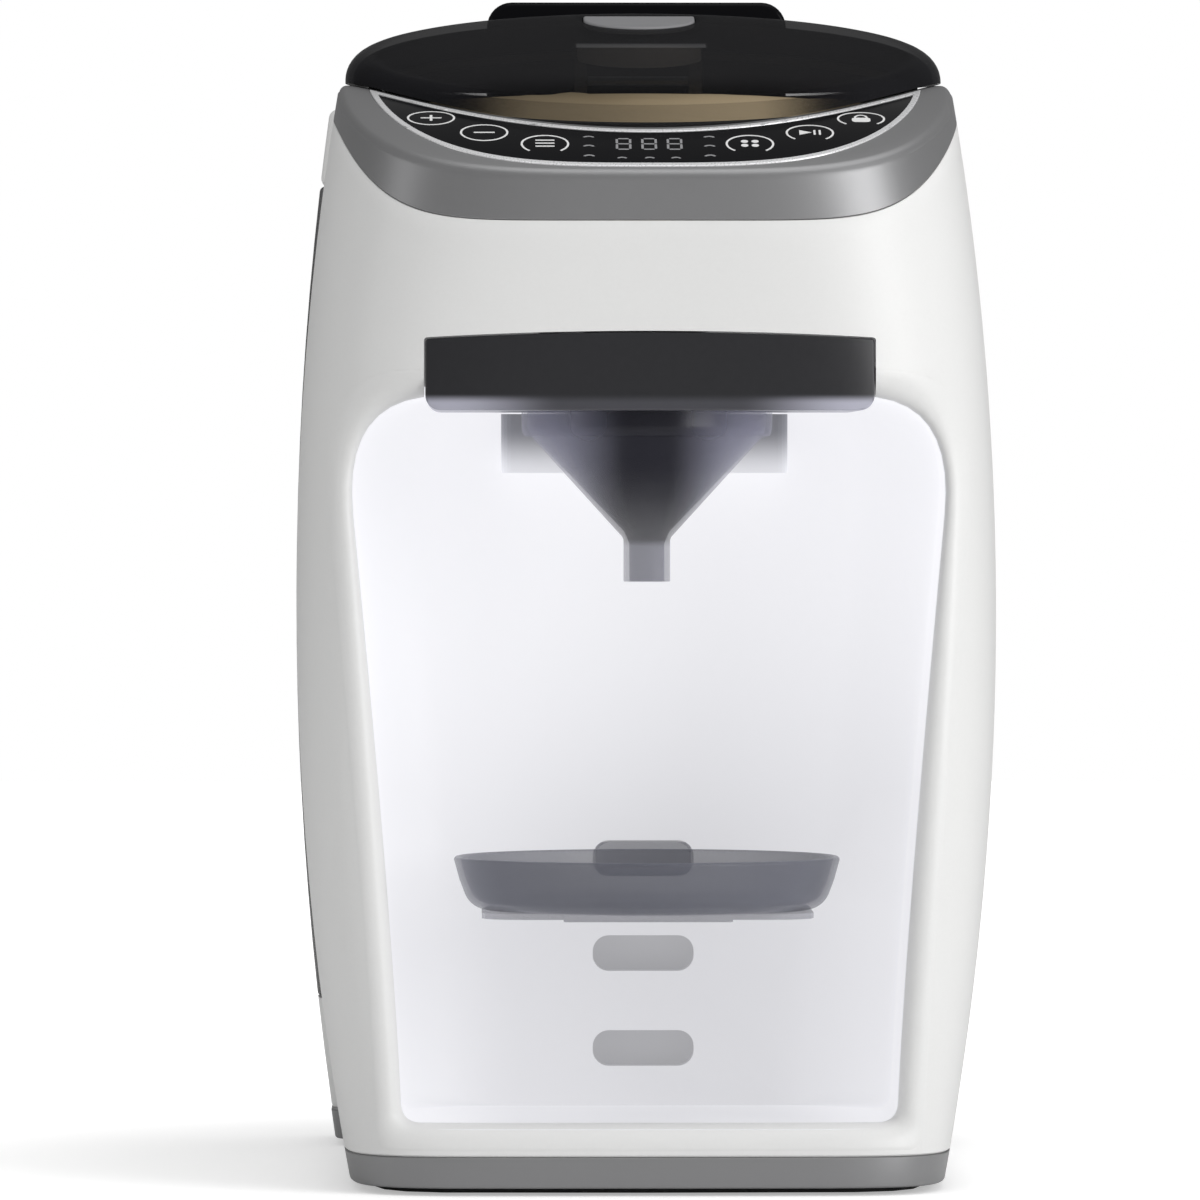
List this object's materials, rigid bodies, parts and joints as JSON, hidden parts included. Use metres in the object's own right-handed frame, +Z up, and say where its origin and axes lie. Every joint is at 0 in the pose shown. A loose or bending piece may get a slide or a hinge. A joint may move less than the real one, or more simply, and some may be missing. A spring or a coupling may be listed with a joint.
{
  "type": "baby formula maker",
  "caption": "Countertop baby formula maker with powder container, mixing funnel drawer, bottle tray and rear water tank.",
  "frame": {"origin": "middle of the footprint, on the surface that the feet stand on", "axes": "+Z up, the bottle bay faces -Y, +X to the right of someone who faces the bay"},
  "size_m": [0.2206, 0.2964, 0.3695],
  "materials": {
    "shell_white": "satin moulded white plastic",
    "band_grey": "satin mid grey plastic",
    "panel_black": "glossy black panel",
    "trim_silver": "satin silver trim",
    "smoke_clear": "smoked transparent plastic",
    "liner_white": "white lit liner",
    "inner_white": "white moulded plastic",
    "steel": "plain steel",
    "rubber_dark": "soft dark rubber",
    "board_green": "coated circuit board",
    "hose_clear": "silicone hose"
  },
  "bodies": {
    "housing": {"front_shell": "shell_white", "rear_shell": "shell_white", "tank_shelf": "shell_white", "top_band": "band_grey", "base_pan": "band_grey", "base_plinth": "rubber_dark", "foot_front_left": "rubber_dark", "foot_front_right": "rubber_dark", "foot_rear_left": "rubber_dark", "foot_rear_right": "rubber_dark", "control_glass": "panel_black", "panel_trim": "trim_silver", "touch_board": "board_green", "display_module": "band_grey", "bay_liner": "liner_white", "water_shroud": "liner_white", "bay_light": "liner_white", "water_valve": "steel", "water_nozzle": "steel", "water_heater": "steel", "pump_body": "inner_white", "suction_hose": "hose_clear", "pressure_hose": "hose_clear", "hot_hose": "hose_clear", "main_board": "board_green", "power_inlet": "panel_black", "hopper_deck": "inner_white", "gearbox_housing": "band_grey", "drive_motor": "steel", "tank_grommet": "rubber_dark"},
    "container": {"powder_container": "smoke_clear", "dosing_cover": "smoke_clear"},
    "lid": {"lid_dome": "smoke_clear", "lid_seal": "rubber_dark", "lid_hinge_pin": "steel", "button_spring": "steel"},
    "lid_button": {"lid_button": "smoke_clear"},
    "agitator": {"dosing_wheel": "inner_white", "stir_wheel": "inner_white"},
    "drive": {"drive_gear": "inner_white", "drive_coupling": "band_grey"},
    "pinion": {"motor_pinion": "steel"},
    "drawer": {"funnel_drawer": "smoke_clear", "funnel_cone": "smoke_clear"},
    "tray": {"bottle_tray": "smoke_clear", "tray_bracket": "smoke_clear"},
    "tank": {"tank_body": "smoke_clear", "tank_filter": "inner_white", "tank_lid_pin_left": "steel", "tank_lid_pin_right": "steel"},
    "tank_lid": {"tank_lid": "shell_white", "tank_lid_seal": "rubber_dark", "tank_handle": "panel_black"},
    "pump_rotor": {"pump_rotor": "inner_white"},
    "power_rocker": {"power_rocker": "panel_black"}
  },
  "joints": [
    {"name": "container_lift", "type": "slide", "parent": "housing", "child": "container", "axis": [0, 0, 1], "range_m": [0, 0.13]},
    {"name": "lid_hinge", "type": "hinge", "parent": "container", "child": "lid", "pos_m": [0, 0.073, 0.343], "axis": [-1, 0, 0], "range_deg": [0, 80]},
    {"name": "lid_button_press", "type": "slide", "parent": "lid", "child": "lid_button", "axis": [0, 0, -1], "range_m": [0, 0.002], "stiffness_N_per_m": 600, "springref_m": -0.001, "deforming": ["button_spring"]},
    {"name": "agitator_spin", "type": "hinge", "parent": "container", "child": "agitator", "pos_m": [0, -0.021, 0.28], "axis": [0, 0, 1], "continuous": true},
    {"name": "drive_spin", "type": "hinge", "parent": "housing", "child": "drive", "pos_m": [0, -0.021, 0.253], "axis": [0, 0, 1], "continuous": true},
    {"name": "pinion_spin", "type": "hinge", "parent": "housing", "child": "pinion", "pos_m": [0, 0.00185, 0.253], "axis": [0, 0, 1], "continuous": true},
    {"name": "drawer_slide", "type": "slide", "parent": "housing", "child": "drawer", "axis": [0, -1, 0], "range_m": [0, 0.11]},
    {"name": "tray_slide", "type": "slide", "parent": "housing", "child": "tray", "axis": [0, -1, 0], "range_m": [0, 0.06]},
    {"name": "tank_lift", "type": "slide", "parent": "housing", "child": "tank", "axis": [0, 0, 1], "range_m": [0, 0.15]},
    {"name": "tank_lid_hinge", "type": "hinge", "parent": "tank", "child": "tank_lid", "pos_m": [0, 0.1441, 0.31017], "axis": [-1, 0, 0], "range_deg": [0, 95]},
    {"name": "pump_spin", "type": "hinge", "parent": "housing", "child": "pump_rotor", "pos_m": [0.045, 0.055, 0.03], "axis": [0, 0, 1], "continuous": true},
    {"name": "power_switch", "type": "hinge", "parent": "housing", "child": "power_rocker", "pos_m": [0.02, 0.1371, 0.027], "axis": [1, 0, 0], "range_deg": [-5, 5]}
  ],
  "couplings": [
    {"joint": "drive_spin", "follows": "agitator_spin", "ratio": 1},
    {"joint": "pinion_spin", "follows": "agitator_spin", "ratio": -3}
  ]
}
